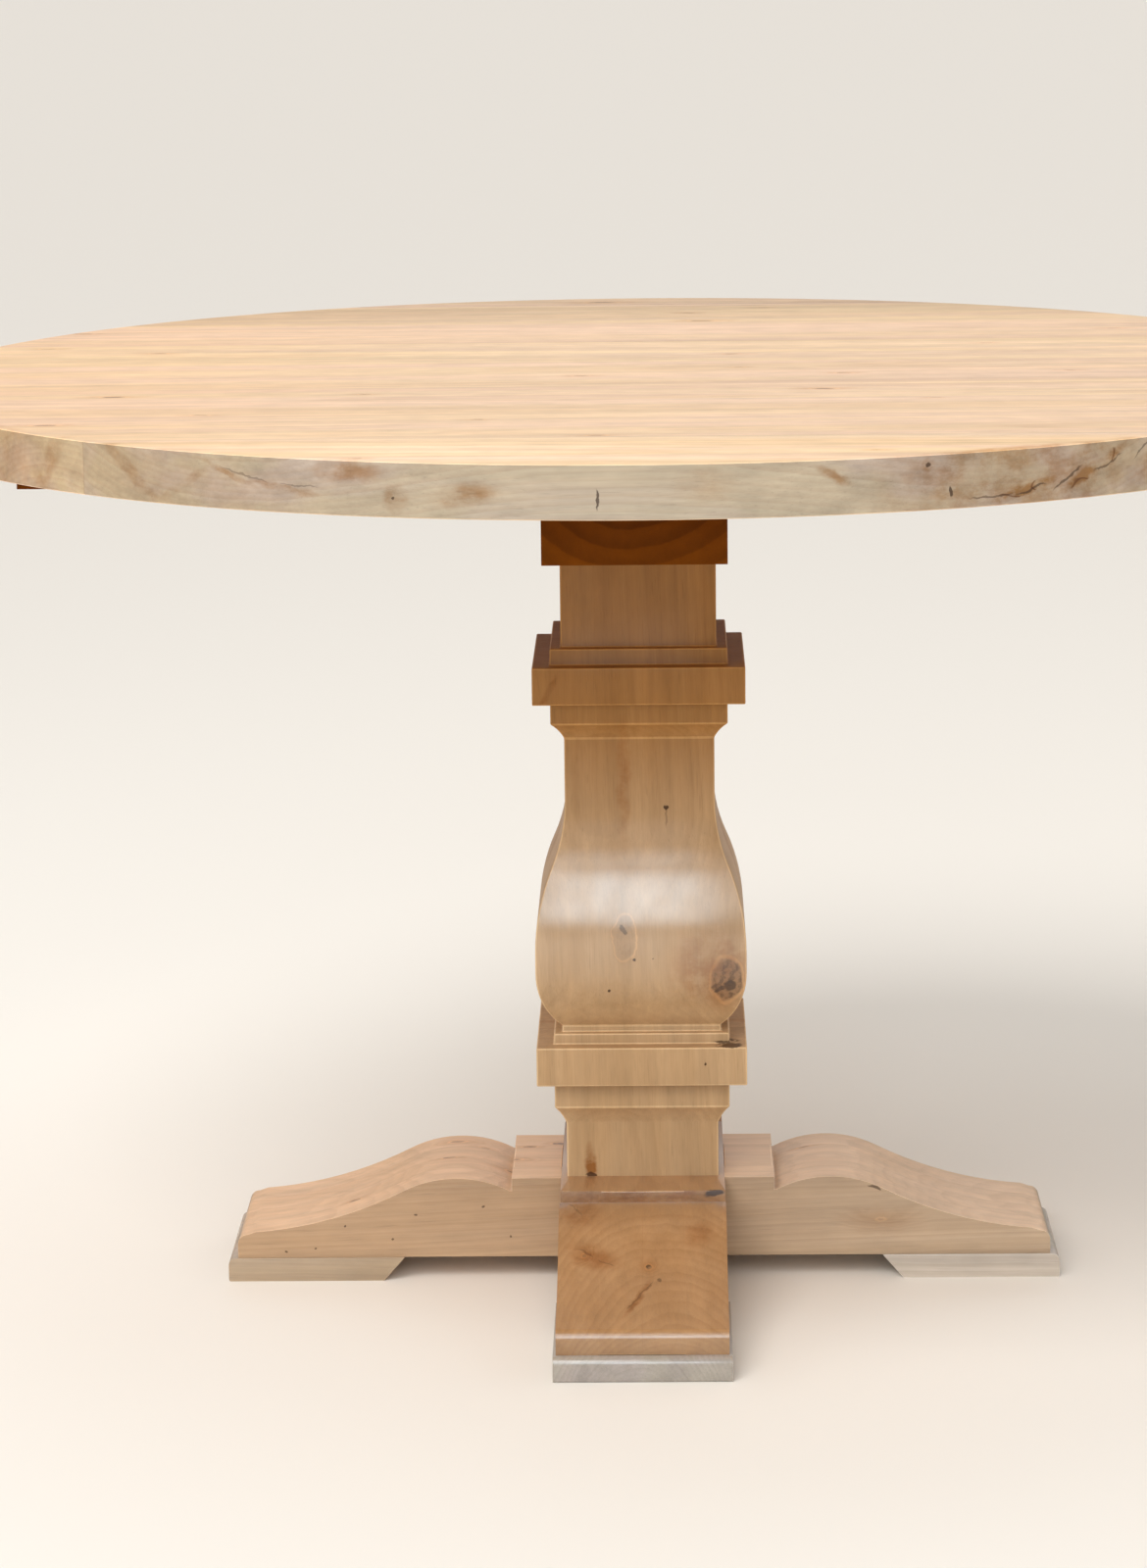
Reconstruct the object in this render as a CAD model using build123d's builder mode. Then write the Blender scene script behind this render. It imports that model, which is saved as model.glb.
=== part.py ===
"""A round pedestal table of solid wood.

An edge-glued round top lies on two bearers halved across each other. They sit on a square
column, laminated from five boards and moulded with two collars and a vase. The column stands
on two ogee beams, also laminated and halved across each other, whose toes rest on four pads.
A threaded rod through the middle ties bearers, column and beams together.

Lengths are in millimetres. The origin is on the floor under the middle of the top, with +X
to the right, +Y to the back and +Z up.
"""

import os
from math import atan2, cos, radians, sin

from build123d import *

# ---- Overall ----
table_height = 760
arm_angles = {"right": 0, "back": 90, "left": 180, "front": 270}

# ---- Top: boards glued edge to edge, with the grain along X ----
top_diameter = 1200
top_thickness = 40
rim_chamfer = 0.6
board_joints = (-440, -285, -116, 57, 215, 375, 535)  # from the front to the back

# ---- Bearers under the top ----
bearer_length = 1014
bearer_width = 136
bearer_height = 46

# ---- Feet: crossed beams on pads ----
beam_width = 137
beam_laminations = 4
beam_height = 68
beam_toe = 341.5  # from the middle to the face of the toe
hub_reach = 110  # half-length of the flat in the middle of a beam
hub_step = 11
hump_inset = 2  # flat between the hub's step and the hump
hump_peak = 157  # distance of the hump's top from the middle
hump_radius = 97
hump_sweep = 27  # degrees from the hump's top to where it turns hollow
toe_slope_end = (326, 42.5)  # where the hollow meets the rounded toe
toe_radius = 8
toe_face_top = 32

pad_width = 142
pad_height = 20
pad_reach = 349.5
pad_inner_top = 201
pad_inner_bottom = 218.5
pad_nose_radius = 6
pad_heel_radius = 2

# ---- Column: half-widths and heights of its square sections ----
column_laminations = 5
column_base_half = 63.5
collar_step_half = 73
collar_band_half = 87.5
vase_foot_half = 66
vase_belly_half = 87.5
vase_neck_half = 62
column_neck_half = 64

lower_cove_low = 134
lower_cove_high = 150
lower_band_low = 172
lower_band_high = 204.5
lower_step_high = 213.5
vase_low = 219
vase_belly_low = 268
vase_belly_high = 285
vase_flare_high = 410
vase_flare_radius = 140
upper_cove_low = 462
upper_cove_high = 475.5
upper_band_low = 494
upper_band_high = 525
upper_step_high = 538.5
cove_depth = 1

# ---- Fixings ----
rod_diameter = 12
rod_bore = 13
nut_across_flats = 19
nut_height = 10
washer_diameter = 30
washer_thickness = 2.5
recess_diameter = 34
upper_recess_depth = 14
lower_recess_depth = 18

top_screw_places = ((170, 35), (330, -35), (480, 35))  # along and across each bearer arm
top_screw_diameter = 6
top_screw_length = 52
top_screw_head_diameter = 12
top_screw_head_height = 4
top_screw_clearance = 7
top_screw_washer_diameter = 17
top_screw_washer_thickness = 1.6
top_screw_recess_diameter = 19
top_screw_recess_depth = 18

pad_screw_places = ((245, 51), (245, -51), (315, 51), (315, -51))
pad_screw_diameter = 5
pad_screw_length = 38
pad_screw_head_radius = 5
pad_screw_clearance = 5.5
pad_screw_sink_radius = 6.5

dowel_diameter = 12
dowel_places = ((50, 35), (-50, 35), (-50, -35), (50, -35))
base_dowel_depth = 30
base_dowel_rise = 30
top_dowel_depth = 30
top_dowel_rise = 20

socket_across_flats = 4
socket_depth = 2

# ---- Levels worked out from the sizes above ----
top_radius = top_diameter / 2
top_underside = table_height - top_thickness
bearer_underside = top_underside - bearer_height
bearer_middle = bearer_underside + bearer_height / 2
hub_top = pad_height + beam_height
beam_middle = pad_height + beam_height / 2
upper_seat = top_underside - upper_recess_depth
lower_seat = pad_height + lower_recess_depth
top_screw_seat = bearer_underside + top_screw_recess_depth
top_screw_under_head = top_screw_seat - top_screw_washer_thickness
pad_screw_sunk = pad_screw_sink_radius - pad_screw_head_radius

os.makedirs("parts", exist_ok=True)


def save(piece, name):
    """Label a finished piece and write its file."""
    piece.label = name
    export_step(piece, f"parts/{name}.step")


def arm_point(angle, along, across):
    """A place on an arm that points at the given angle about the table's axis."""
    turn = radians(angle)
    return (along * cos(turn) - across * sin(turn), along * sin(turn) + across * cos(turn))


def arm_plane(angle, shift=0):
    """An upright plane along an arm: its x runs outwards, its y up, shifted across the arm."""
    turn = radians(angle)
    return Plane(
        origin=(-shift * sin(turn), shift * cos(turn), 0),
        x_dir=(cos(turn), sin(turn), 0),
        z_dir=(sin(turn), -cos(turn), 0),
    )


def facing_down(places, height):
    """Planes at the given places that look down, for holes drilled upwards."""
    return [Plane(origin=(x, y, height), z_dir=(0, 0, -1)) for x, y in places]


def at_height(places, height):
    return [(x, y, height) for x, y in places]


def all_arms(places):
    """Places given along and across one arm, repeated on all four."""
    return [arm_point(angle, *place) for angle in arm_angles.values() for place in places]


top_screw_points = all_arms(top_screw_places)
pad_screw_points = all_arms(pad_screw_places)


# ---- Top boards ----
def make_top_board(front, back):
    """One board of the round top, between two glue joints."""
    points = [(x, y) for x, y in top_screw_points if front < y < back]
    with BuildPart() as board:
        with BuildSketch(Plane.XY.offset(top_underside)):
            Circle(top_radius)
            with Locations((0, (front + back) / 2)):
                Rectangle(top_diameter, back - front, mode=Mode.INTERSECT)
        extrude(amount=top_thickness)
        chamfer(board.edges().filter_by(GeomType.CIRCLE), rim_chamfer)
        if points:
            with Locations(*facing_down(points, top_underside)):
                Hole(top_screw_diameter / 2, top_screw_under_head + top_screw_length - top_underside)
    return board.part


board_edges = (-top_radius, *board_joints, top_radius)
for number, (front, back) in enumerate(zip(board_edges, board_edges[1:]), start=1):
    save(make_top_board(front, back), f"top_board_{number}")


# ---- Bearers ----
def make_bearer(angle, notch_low):
    """A bearer along the given angle, halved where the other one crosses it."""
    places = [point for turn in (0, 180) for point in
              (arm_point(angle + turn, *place) for place in top_screw_places)]
    with BuildPart() as bearer:
        with BuildSketch(Plane.XY.offset(bearer_underside)):
            Rectangle(bearer_length, bearer_width, rotation=angle)
        extrude(amount=bearer_height)
        with BuildSketch(Plane.XY.offset(notch_low)):
            Rectangle(bearer_width, bearer_width)
        extrude(amount=bearer_height / 2, mode=Mode.SUBTRACT)
        with Locations(*facing_down(places, bearer_underside)):
            CounterBoreHole(top_screw_clearance / 2, top_screw_recess_diameter / 2,
                            top_screw_recess_depth, bearer_height)
        with Locations((0, 0, top_underside)):
            CounterBoreHole(rod_bore / 2, recess_diameter / 2, upper_recess_depth, bearer_height)
        if notch_low > bearer_underside:
            with Locations(*at_height(dowel_places, bearer_underside + top_dowel_rise)):
                Hole(dowel_diameter / 2, top_dowel_rise)
    return bearer.part


save(make_bearer(90, bearer_middle), "bearer_front_to_back")
save(make_bearer(0, bearer_underside), "bearer_left_to_right")


# ---- Column ----
def make_column_outline():
    """The column's outline seen from any side, drawn on XY with its height along y."""
    flare_height = vase_flare_high - vase_belly_high
    flare_width = vase_belly_half - vase_neck_half
    swing = 2 * atan2(flare_width, flare_height)
    turning_point = (
        vase_neck_half + vase_flare_radius * (1 - cos(swing)),
        vase_flare_high - vase_flare_radius * sin(swing),
    )
    with BuildSketch() as outline:
        with BuildLine():
            Polyline(
                (0, hub_top),
                (column_base_half, hub_top),
                (column_base_half, lower_cove_low),
            )
            SagittaArc(
                (column_base_half, lower_cove_low),
                (collar_step_half, lower_cove_high),
                cove_depth,
            )
            Polyline(
                (collar_step_half, lower_cove_high),
                (collar_step_half, lower_band_low),
                (collar_band_half, lower_band_low),
                (collar_band_half, lower_band_high),
                (collar_step_half, lower_band_high),
                (collar_step_half, lower_step_high),
                (vase_foot_half, lower_step_high),
                (vase_foot_half, vase_low),
            )
            TangentArc(
                (vase_belly_half, vase_belly_low),
                (vase_foot_half, vase_low),
                tangent=(0, -1),
            )
            Line((vase_belly_half, vase_belly_low), (vase_belly_half, vase_belly_high))
            TangentArc((vase_belly_half, vase_belly_high), turning_point, tangent=(0, 1))
            TangentArc((vase_neck_half, vase_flare_high), turning_point, tangent=(0, -1))
            Line((vase_neck_half, vase_flare_high), (vase_neck_half, upper_cove_low))
            SagittaArc(
                (vase_neck_half, upper_cove_low),
                (collar_step_half, upper_cove_high),
                cove_depth,
            )
            Polyline(
                (collar_step_half, upper_cove_high),
                (collar_step_half, upper_band_low),
                (collar_band_half, upper_band_low),
                (collar_band_half, upper_band_high),
                (collar_step_half, upper_band_high),
                (collar_step_half, upper_step_high),
                (column_neck_half, upper_step_high),
                (column_neck_half, bearer_underside),
                (0, bearer_underside),
                (0, hub_top),
            )
        make_face()
        mirror(about=Plane.YZ)
    return outline.sketch


column_outline = make_column_outline()
column_width = 2 * collar_band_half
column_lamination = column_width / column_laminations


def make_column_lamination(front):
    """One upright board of the column, whose face towards the front lies at y = front."""
    back = front + column_lamination
    dowels = [(x, y) for x, y in dowel_places if front < y < back]
    with BuildPart() as lamination:
        with BuildSketch(Plane.XZ.offset(-back)):
            add(column_outline)
        extrude(amount=column_lamination)
        with BuildSketch(Plane.YZ):
            add(column_outline)
        extrude(amount=column_width / 2, both=True, mode=Mode.INTERSECT)
        if front < 0 < back:
            with Locations((0, 0, bearer_underside)):
                Hole(rod_bore / 2, bearer_underside - hub_top)
        if dowels:
            with Locations(*at_height(dowels, bearer_underside)):
                Hole(dowel_diameter / 2, top_dowel_depth)
            with Locations(*facing_down(dowels, hub_top)):
                Hole(dowel_diameter / 2, base_dowel_rise)
    return lamination.part


for number in range(column_laminations):
    front = number * column_lamination - column_width / 2
    save(make_column_lamination(front), f"column_lamination_{number + 1}")


# ---- Crossed beams ----
def make_beam_outline():
    """The outline of a whole beam seen from its side, drawn on XY with its height along y."""
    crest = (hump_peak, hub_top)
    hump_start_x = hub_reach + hump_inset
    hump_centre_z = hub_top - hump_radius
    hump_start_rise = (hump_radius**2 - (hump_peak - hump_start_x) ** 2) ** 0.5
    hump_start = (hump_start_x, hump_centre_z + hump_start_rise)
    sweep = radians(hump_sweep)
    hump_end = (
        hump_peak + hump_radius * sin(sweep),
        hump_centre_z + hump_radius * cos(sweep),
    )
    with BuildSketch() as outline:
        with BuildLine():
            Polyline(
                (0, pad_height),
                (0, hub_top),
                (hub_reach, hub_top),
                (hub_reach, hump_start[1]),
                hump_start,
            )
            ThreePointArc(hump_start, crest, hump_end)
            TangentArc(hump_end, toe_slope_end, tangent=(cos(sweep), -sin(sweep)))
            Line(toe_slope_end, (beam_toe - toe_radius, toe_face_top + toe_radius))
            TangentArc(
                (beam_toe, toe_face_top),
                (beam_toe - toe_radius, toe_face_top + toe_radius),
                tangent=(0, 1),
            )
            Polyline((beam_toe, toe_face_top), (beam_toe, pad_height), (0, pad_height))
        make_face()
        mirror(about=Plane.YZ)
    return outline.sketch


beam_outline = make_beam_outline()
beam_lamination = beam_width / beam_laminations


def make_beam_lamination(angle, near_side, notch_low):
    """One board of a beam along the given angle; near_side is where it starts across it."""
    middle = near_side + beam_lamination / 2
    arms = (0, 180)
    screws = []
    for turn in arms:
        for along, across in pad_screw_places:
            side = across if turn == 0 else -across
            if abs(side - middle) < beam_lamination / 2:
                screws.append(arm_point(angle + turn, along, across))
    with BuildPart() as lamination:
        with BuildSketch(arm_plane(angle, near_side + beam_lamination)):
            add(beam_outline)
        extrude(amount=beam_lamination)
        with BuildSketch(Plane.XY.offset(notch_low)):
            Rectangle(beam_width, beam_width)
        extrude(amount=beam_height / 2, mode=Mode.SUBTRACT)
        if screws:
            with Locations(*facing_down(screws, pad_height)):
                Hole(pad_screw_diameter / 2, pad_screw_sunk + pad_screw_length - pad_height)
        if abs(middle) < beam_lamination:
            with Locations(Plane(origin=(0, 0, pad_height), z_dir=(0, 0, -1))):
                CounterBoreHole(rod_bore / 2, recess_diameter / 2, lower_recess_depth, beam_height)
        elif notch_low < beam_middle:
            with Locations(*at_height(dowel_places, hub_top)):
                Hole(dowel_diameter / 2, base_dowel_depth)
    return lamination.part


for number in range(beam_laminations):
    near_side = number * beam_lamination - beam_width / 2
    across_beam = make_beam_lamination(0, near_side, beam_middle)
    save(across_beam, f"beam_left_to_right_lamination_{number + 1}")
    along_beam = make_beam_lamination(90, near_side, pad_height)
    save(along_beam, f"beam_front_to_back_lamination_{number + 1}")


# ---- Pads ----
def make_pad(angle):
    """A pad under one toe, undercut at its inner end and round-nosed at its outer end."""
    places = [arm_point(angle, *place) for place in pad_screw_places]
    with BuildPart() as pad:
        with BuildSketch(arm_plane(angle)) as side:
            with BuildLine():
                Polyline(
                    (pad_inner_top, pad_height),
                    (pad_reach, pad_height),
                    (pad_reach, 0),
                    (pad_inner_bottom, 0),
                    close=True,
                )
            make_face()
            fillet(side.vertices().group_by(Axis.X)[-1].sort_by(Axis.Y)[-1], pad_nose_radius)
            fillet(side.vertices().group_by(Axis.X)[-1].sort_by(Axis.Y)[0], pad_heel_radius)
        extrude(amount=pad_width / 2, both=True)
        with Locations(*facing_down(places, 0)):
            CounterSinkHole(pad_screw_clearance / 2, pad_screw_sink_radius, pad_height, 90)
    return pad.part


for arm, angle in arm_angles.items():
    save(make_pad(angle), f"foot_pad_{arm}")


# ---- Tie rod with its nuts and washers ----
rod_stub = 1
rod_low = lower_seat - washer_thickness - nut_height - rod_stub
rod_high = upper_seat + washer_thickness + nut_height + rod_stub
with BuildPart() as tie_rod:
    with BuildSketch(Plane.XY.offset(rod_low)):
        Circle(rod_diameter / 2)
    extrude(amount=rod_high - rod_low)
    chamfer(tie_rod.edges().filter_by(GeomType.CIRCLE), rod_stub)
save(tie_rod.part, "tie_rod")

nut_levels = (lower_seat - washer_thickness - nut_height, upper_seat + washer_thickness)
with BuildPart() as tie_rod_nuts:
    for level in nut_levels:
        with BuildSketch(Plane.XY.offset(level)):
            RegularPolygon(nut_across_flats / 2, 6, major_radius=False)
            Circle(rod_diameter / 2, mode=Mode.SUBTRACT)
        extrude(amount=nut_height)
save(tie_rod_nuts.part, "tie_rod_nuts")

with BuildPart() as tie_rod_washers:
    for level in (lower_seat - washer_thickness, upper_seat):
        with BuildSketch(Plane.XY.offset(level)):
            Circle(washer_diameter / 2)
            Circle(rod_bore / 2, mode=Mode.SUBTRACT)
        extrude(amount=washer_thickness)
save(tie_rod_washers.part, "tie_rod_washers")

# ---- Screws that hold the top, with their washers ----
with BuildPart() as one_top_screw:
    with BuildSketch(Plane.XZ):
        with BuildLine():
            Polyline(
                (0, -top_screw_head_height),
                (top_screw_head_diameter / 2 - 1.5, -top_screw_head_height),
                (top_screw_head_diameter / 2, -top_screw_head_height + 1.5),
                (top_screw_head_diameter / 2, 0),
                (top_screw_diameter / 2, 0),
                (top_screw_diameter / 2, top_screw_length - top_screw_diameter),
                (0, top_screw_length),
                close=True,
            )
        make_face()
    revolve(axis=Axis.Z)
    with BuildSketch(Plane.XY.offset(-top_screw_head_height)):
        RegularPolygon(socket_across_flats / 2, 6, major_radius=False)
    extrude(amount=socket_depth, mode=Mode.SUBTRACT)

with BuildPart() as top_screws:
    with Locations(*at_height(top_screw_points, top_screw_under_head)):
        add(one_top_screw.part)
save(top_screws.part, "top_screws")

with BuildPart() as top_screw_washers:
    with BuildSketch(Plane.XY.offset(top_screw_under_head)):
        with Locations(*top_screw_points):
            Circle(top_screw_washer_diameter / 2)
            Circle(top_screw_clearance / 2, mode=Mode.SUBTRACT)
    extrude(amount=top_screw_washer_thickness)
save(top_screw_washers.part, "top_screw_washers")

# ---- Countersunk screws that hold the pads ----
with BuildPart() as one_pad_screw:
    with BuildSketch(Plane.XZ):
        with BuildLine():
            Polyline(
                (0, 0),
                (pad_screw_head_radius, 0),
                (pad_screw_diameter / 2, pad_screw_head_radius - pad_screw_diameter / 2),
                (pad_screw_diameter / 2, pad_screw_length - pad_screw_diameter),
                (0, pad_screw_length),
                close=True,
            )
        make_face()
    revolve(axis=Axis.Z)
    with BuildSketch():
        RegularPolygon(socket_across_flats / 2, 6, major_radius=False)
    extrude(amount=socket_depth, mode=Mode.SUBTRACT)

with BuildPart() as pad_screws:
    with Locations(*at_height(pad_screw_points, pad_screw_sunk)):
        add(one_pad_screw.part)
save(pad_screws.part, "pad_screws")

# ---- Dowels at both ends of the column ----
with BuildPart() as column_base_dowels:
    with BuildSketch(Plane.XY.offset(hub_top - base_dowel_depth)):
        with Locations(*dowel_places):
            Circle(dowel_diameter / 2)
    extrude(amount=base_dowel_depth + base_dowel_rise)
save(column_base_dowels.part, "column_base_dowels")

with BuildPart() as column_top_dowels:
    with BuildSketch(Plane.XY.offset(bearer_underside - top_dowel_depth)):
        with Locations(*dowel_places):
            Circle(dowel_diameter / 2)
    extrude(amount=top_dowel_depth + top_dowel_rise)
save(column_top_dowels.part, "column_top_dowels")
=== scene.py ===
import math
import random
from collections import namedtuple

import bmesh
import bpy
from mathutils import Matrix, Vector


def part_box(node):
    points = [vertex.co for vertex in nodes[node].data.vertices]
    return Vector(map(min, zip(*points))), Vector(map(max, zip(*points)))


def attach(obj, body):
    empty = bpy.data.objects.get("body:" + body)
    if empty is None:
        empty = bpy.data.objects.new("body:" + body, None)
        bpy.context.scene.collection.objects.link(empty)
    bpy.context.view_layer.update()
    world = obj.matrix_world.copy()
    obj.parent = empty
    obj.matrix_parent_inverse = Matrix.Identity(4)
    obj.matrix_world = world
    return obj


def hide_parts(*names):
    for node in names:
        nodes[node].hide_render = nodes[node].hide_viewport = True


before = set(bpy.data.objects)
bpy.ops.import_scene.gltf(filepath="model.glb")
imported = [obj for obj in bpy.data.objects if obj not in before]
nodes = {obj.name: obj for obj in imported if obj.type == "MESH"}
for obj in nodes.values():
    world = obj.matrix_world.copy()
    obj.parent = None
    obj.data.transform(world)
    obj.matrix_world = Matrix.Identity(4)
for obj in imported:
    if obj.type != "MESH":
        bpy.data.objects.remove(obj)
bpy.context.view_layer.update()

# The looks of the round pedestal table. Lengths are in metres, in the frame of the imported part:
# origin on the floor under the middle of the top, +X right, +Y back, +Z up.

x_axis, y_axis, z_axis = range(3)

# ---- Places read from the frame ----
top_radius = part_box("top_board_4")[1].x
top_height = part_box("top_board_4")[1].z
column_middle = "column_lamination_3"

# ---- Sizes of the finishing touches ----
arris = 0.0011  # rounding of the wooden arrises
pad_edge = 0.0045
bearer_edge = 0.0015
bevel_segments = 4
smooth_angle = math.radians(28)
chamfer_slopes = (0.3, 0.95)  # how far up a chamfer of the top faces, where 1 is straight up
# The strength of the painted highlight and wear on the chamfers of the top.
chamfer_highlight_and_wear = 0.5

# ---- How close counts as the same ----
same_point = 1e-6
no_length = 1e-7
same_height = 1e-5
same_plane = 0.0002
flat_angle = math.radians(0.1)
square_on = 0.999


# ---------------------------------------------------------------- pieces

def names_of(start):
    return sorted(name for name in nodes if name.startswith(start))


def clean_mesh(name):
    """The CAD node's mesh as a bmesh of large flat faces."""
    mesh = bmesh.new()
    mesh.from_mesh(nodes[name].data)
    bmesh.ops.remove_doubles(mesh, verts=mesh.verts, dist=same_point)
    bmesh.ops.dissolve_limit(mesh, angle_limit=flat_angle, verts=mesh.verts, edges=mesh.edges)
    return mesh


def joints_of(names, index, axis):
    """The glued faces of one board in a stack: the axis of the stack and each place on it."""
    low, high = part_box(names[index])
    glued = []
    if index > 0:
        glued.append((axis, low[axis]))
    if index < len(names) - 1:
        glued.append((axis, high[axis]))
    return glued


def lies_in(face, planes):
    """Whether a face lies in one of the given planes, each an axis and a place on it."""
    for axis, place in planes:
        flat = abs(face.normal[axis]) > square_on
        if flat and abs(face.calc_center_median()[axis] - place) < same_plane:
            return True
    return False


def ease_edges(mesh, glued, width):
    """Rounds the arrises between bare faces and marks the new faces for a painted highlight mixed
    with wear.
    """
    highlight_and_wear = mesh.faces.layers.float.new("highlight_and_wear_face")
    edges = []
    for edge in mesh.edges:
        if len(edge.link_faces) != 2 or edge.calc_face_angle(0) < smooth_angle:
            continue
        if any(lies_in(face, glued) for face in edge.link_faces):
            continue
        edges.append(edge)
    made = bmesh.ops.bevel(mesh, geom=edges, offset=width, segments=bevel_segments,
                           profile=0.5, affect="EDGES", clamp_overlap=True)
    for face in made["faces"]:
        face[highlight_and_wear] = 1.0


pieces = {}


def add_piece(node, mesh):
    """Turns a finished bmesh, with its marks of painted highlight and wear, into the piece that
    stands for a CAD node.
    """
    highlight_and_wear = mesh.faces.layers.float["highlight_and_wear_face"]
    highlit_and_worn = [face[highlight_and_wear] for face in mesh.faces]
    mesh.faces.layers.float.remove(highlight_and_wear)
    mesh.normal_update()
    name = node + "_eased"
    data = bpy.data.meshes.new(name)
    mesh.to_mesh(data)
    mesh.free()
    data.attributes.new("highlight_and_wear", "FLOAT", "FACE").data.foreach_set("value", highlit_and_worn)
    data.shade_smooth()
    data.set_sharp_from_angle(angle=smooth_angle)
    piece = bpy.data.objects.new(name, data)
    bpy.context.scene.collection.objects.link(piece)
    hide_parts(node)
    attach(piece, "root")
    pieces[node] = piece


def outline_of(name, axis):
    """The corners of a node's flat side face that looks backwards along the axis."""
    mesh = clean_mesh(name)
    sides = [face for face in mesh.faces if face.normal[axis] < -square_on]
    side = max(sides, key=lambda face: face.calc_area())
    corners = [vert.co.copy() for vert in side.verts]
    mesh.free()
    return corners


def column_profile():
    """Height and half-width of the column, from the bottom up, from its middle board."""
    corners = outline_of(column_middle, y_axis)
    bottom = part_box(column_middle)[0].z
    lowest = [index for index, corner in enumerate(corners)
              if abs(corner.z - bottom) < same_height]
    start = max(lowest, key=lambda index: corners[index].x)
    loop = corners[start:] + corners[:start]
    if loop[1].x < 0:
        loop = [loop[0]] + loop[:0:-1]
    return [(corner.z, corner.x) for corner in loop if corner.x > 0]


def outer_board(side, inner):
    """The front (side -1) or back (side 1) board of the column, moulded on three faces."""
    mesh = bmesh.new()
    rings = []
    for height, half in column_profile():
        corners = ((-half, side * half), (half, side * half), (half, inner), (-half, inner))
        rings.append([mesh.verts.new((x, y, height)) for x, y in corners])
    for low, high in zip(rings, rings[1:]):
        for index in range(4):
            after = (index + 1) % 4
            mesh.faces.new((low[index], low[after], high[after], high[index]))
    mesh.faces.new(rings[0])
    mesh.faces.new(rings[-1])
    bmesh.ops.dissolve_degenerate(mesh, dist=no_length, edges=mesh.edges)
    bmesh.ops.recalc_face_normals(mesh, faces=mesh.faces)
    return mesh


def make_column():
    names = names_of("column_lamination")
    low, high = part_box(column_middle)
    ends = [(z_axis, low.z), (z_axis, high.z)]
    for index, name in enumerate(names):
        front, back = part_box(name)
        if index == 0:
            mesh = outer_board(-1, back.y)
        elif index == len(names) - 1:
            mesh = outer_board(1, front.y)
        else:
            mesh = clean_mesh(name)
        ease_edges(mesh, ends + joints_of(names, index, y_axis), arris)
        add_piece(name, mesh)


def make_beams():
    for way, axis in (("left_to_right", y_axis), ("front_to_back", x_axis)):
        names = names_of("beam_" + way)
        for index, name in enumerate(names):
            mesh = clean_mesh(name)
            ease_edges(mesh, joints_of(names, index, axis), arris)
            add_piece(name, mesh)


def make_plain(start, width):
    for name in names_of(start):
        mesh = clean_mesh(name)
        ease_edges(mesh, [], width)
        add_piece(name, mesh)


def make_top():
    """The boards of the top as they are, with their narrow chamfers marked for a painted highlight
    mixed with wear.
    """
    for name in names_of("top_board"):
        mesh = clean_mesh(name)
        highlight_and_wear = mesh.faces.layers.float.new("highlight_and_wear_face")
        for face in mesh.faces:
            if chamfer_slopes[0] < abs(face.normal.z) < chamfer_slopes[1]:
                face[highlight_and_wear] = chamfer_highlight_and_wear
        add_piece(name, mesh)


make_column()
make_beams()
make_plain("foot_pad", pad_edge)
make_plain("bearer", bearer_edge)
make_top()


# ---------------------------------------------------------------- shader building

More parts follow.
